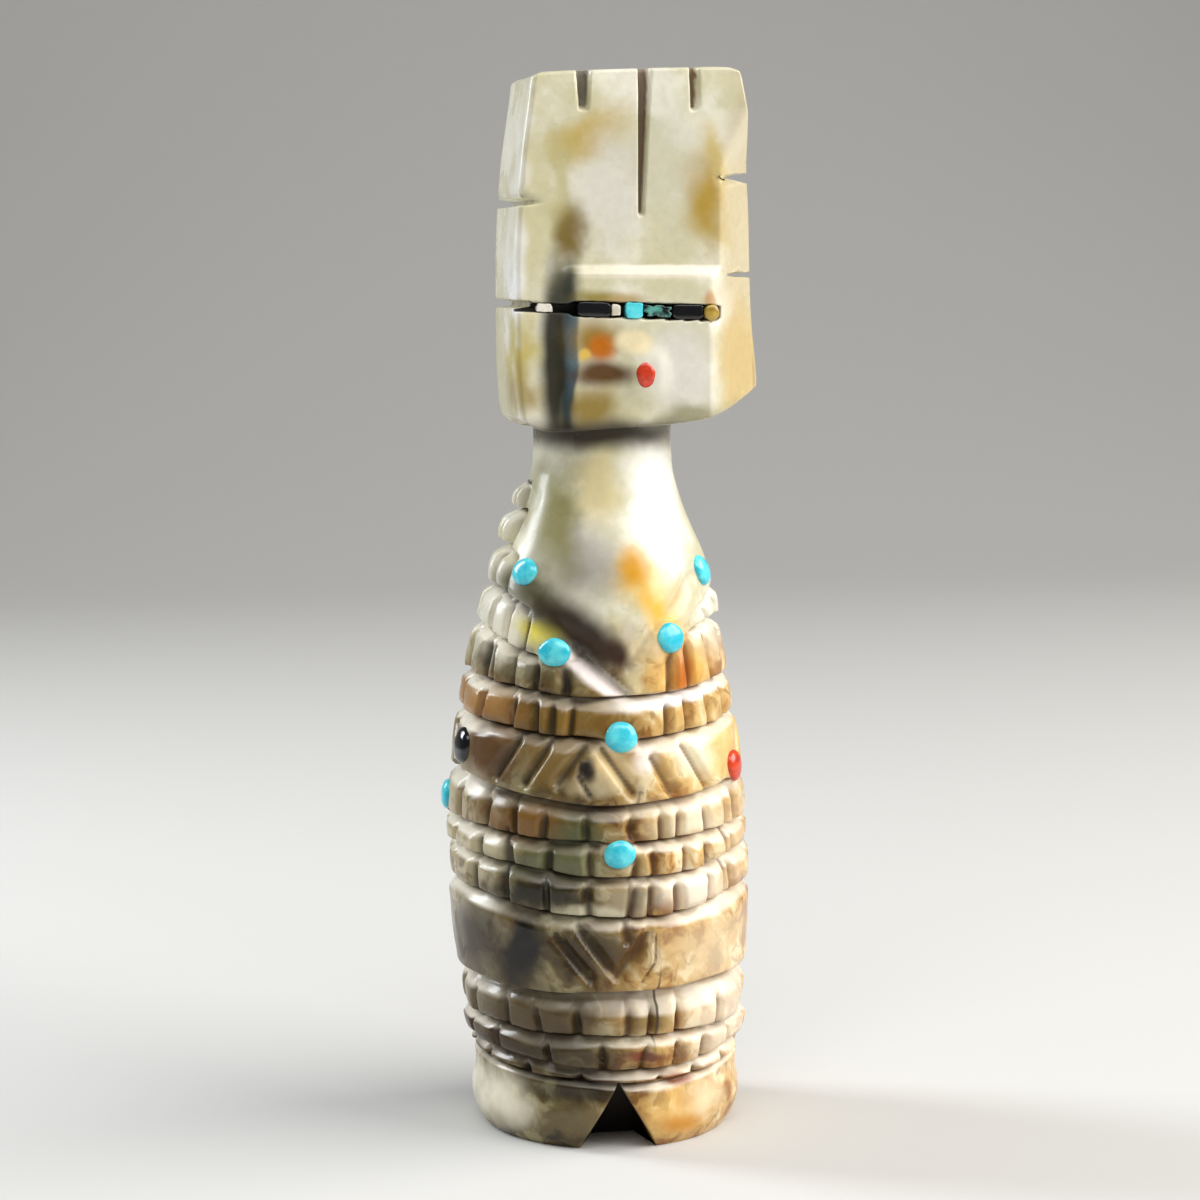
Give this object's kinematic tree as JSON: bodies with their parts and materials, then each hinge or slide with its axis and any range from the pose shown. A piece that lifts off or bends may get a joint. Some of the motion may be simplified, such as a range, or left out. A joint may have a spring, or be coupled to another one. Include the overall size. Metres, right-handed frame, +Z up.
{
  "type": "carved stone figurine",
  "caption": "Small standing maiden carved from one piece of banded stone, with a squared headdress, rows of kernels and inlaid dots; stands on its flat underside.",
  "frame": {"origin": "middle of the flat underside", "axes": "+Z up the figure, its front faces -Y, +X to the right of a viewer who faces it"},
  "size_m": [0.0227, 0.0225, 0.0764],
  "materials": {
    "stone": "polished, cream stone with gold, brown and grey veins",
    "turquoise": "polished turquoise",
    "coral": "polished red coral",
    "jet": "polished jet",
    "shell": "polished white shell",
    "gold_shell": "polished gold-lip shell"
  },
  "bodies": {
    "root": {"carved_stone": "stone", "turquoise_shoulder_left": "turquoise", "turquoise_shoulder_right": "turquoise", "turquoise_chest_left": "turquoise", "turquoise_chest_right": "turquoise", "turquoise_breast": "turquoise", "turquoise_apron": "turquoise", "turquoise_side_left": "turquoise", "turquoise_nose": "turquoise", "jet_side_left": "jet", "jet_eye_left": "jet", "jet_eye_right": "jet", "jet_bridge": "jet", "coral_side_right": "coral", "coral_mouth": "coral", "shell_ear_left": "shell", "shell_bridge": "shell", "shell_ear_right": "gold_shell"}
  },
  "joints": []
}
